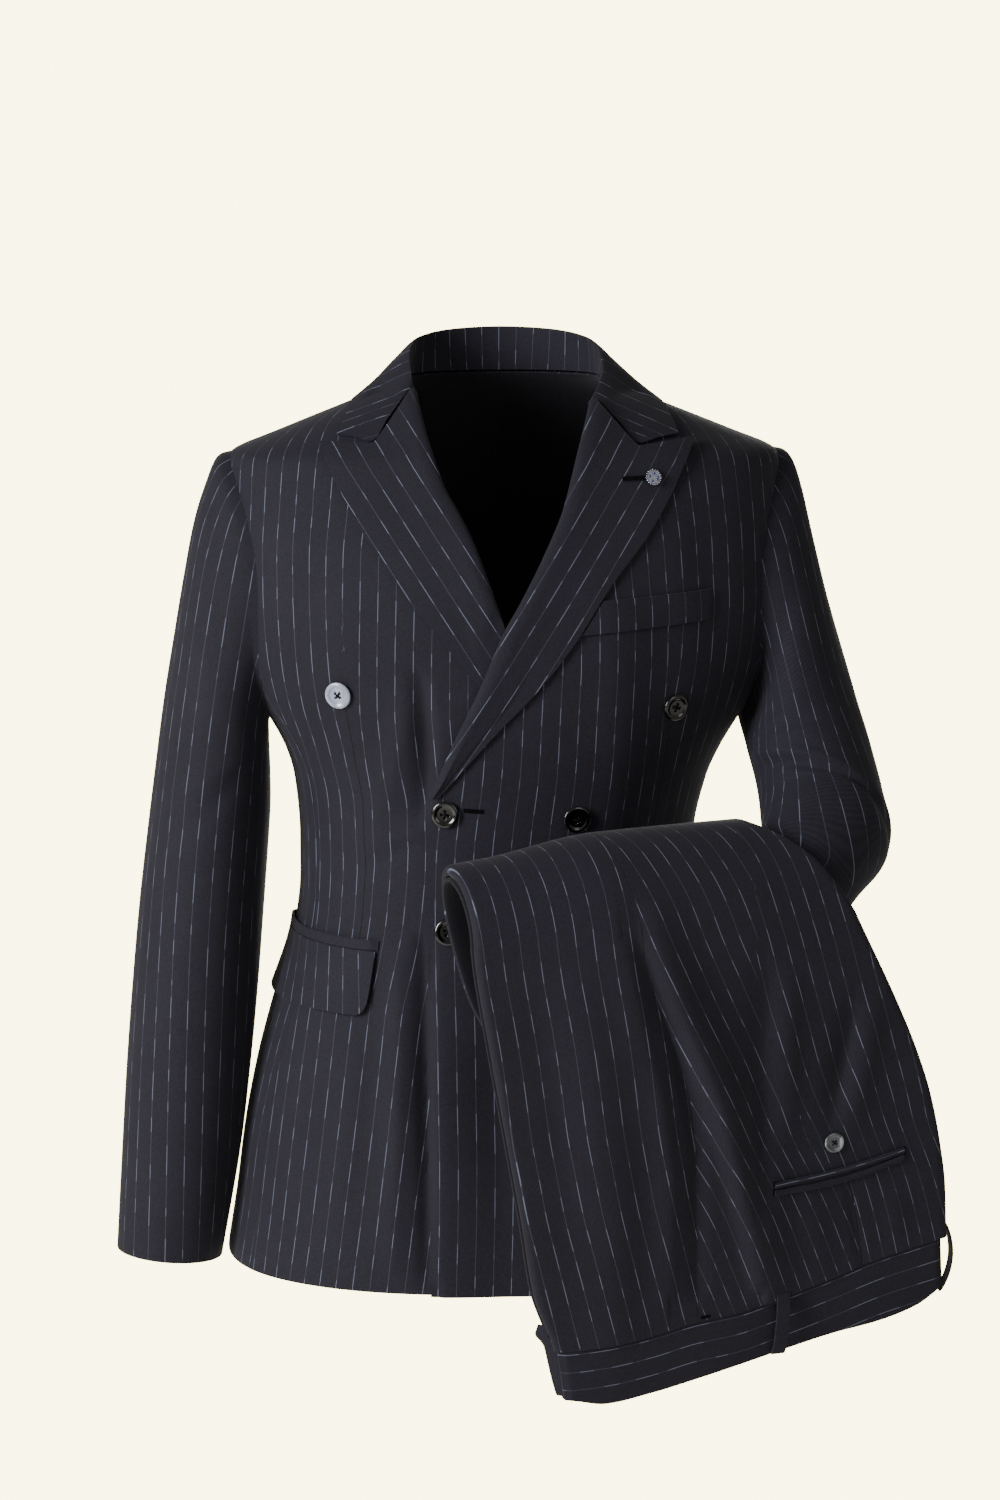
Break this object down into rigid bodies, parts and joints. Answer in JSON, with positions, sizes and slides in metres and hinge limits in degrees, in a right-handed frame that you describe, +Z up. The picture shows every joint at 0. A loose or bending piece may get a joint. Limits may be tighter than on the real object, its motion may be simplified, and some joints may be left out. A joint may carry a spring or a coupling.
{
  "type": "double-breasted suit jacket and trousers",
  "caption": "Striped double-breasted jacket with peak lapels and flap pockets in its worn shape, one sleeve bent, the matching trousers draped over its forearm.",
  "frame": {"origin": "middle of the neck opening at the height of the shoulders, where the wearer holds the jacket up", "axes": "+Z up along the wearer's height, +X to the wearer's left, +Y to the wearer's back"},
  "size_m": [0.664, 0.4137, 0.8048],
  "materials": {
    "cloth": "matt twill wool, near black, with thin broken blue-grey stripes",
    "cloth_inner": "matt twill wool",
    "pale_button": "satin",
    "dark_button": "glossy, marbled",
    "silver": "polished"
  },
  "bodies": {
    "root": {"belt_loop_back": "cloth", "belt_loop_front": "cloth", "belt_loop_side": "cloth", "breast_welt": "cloth", "button_bottom_left": "dark_button", "button_bottom_right": "dark_button", "button_middle_left": "dark_button", "button_middle_right": "dark_button", "button_top_left": "dark_button", "button_top_right": "pale_button", "lapel_pin": "silver", "left_back": "cloth", "left_front": "cloth", "left_hip_flap": "cloth", "left_hip_jetting": "cloth", "left_lapel": "cloth", "left_side": "cloth", "left_sleeve_top": "cloth", "left_sleeve_under": "cloth", "pocket_button": "dark_button", "pocket_jetting_lower": "cloth", "pocket_jetting_upper": "cloth", "right_back": "cloth", "right_front": "cloth", "right_hip_flap": "cloth", "right_hip_jetting": "cloth", "right_lapel": "cloth", "right_side": "cloth", "right_sleeve_top": "cloth", "right_sleeve_under": "cloth", "top_collar": "cloth", "trouser_back": "cloth", "trouser_front": "cloth", "trouser_inner_layers": "cloth_inner", "waistband_left_half": "cloth", "waistband_right_half": "cloth"}
  },
  "joints": []
}
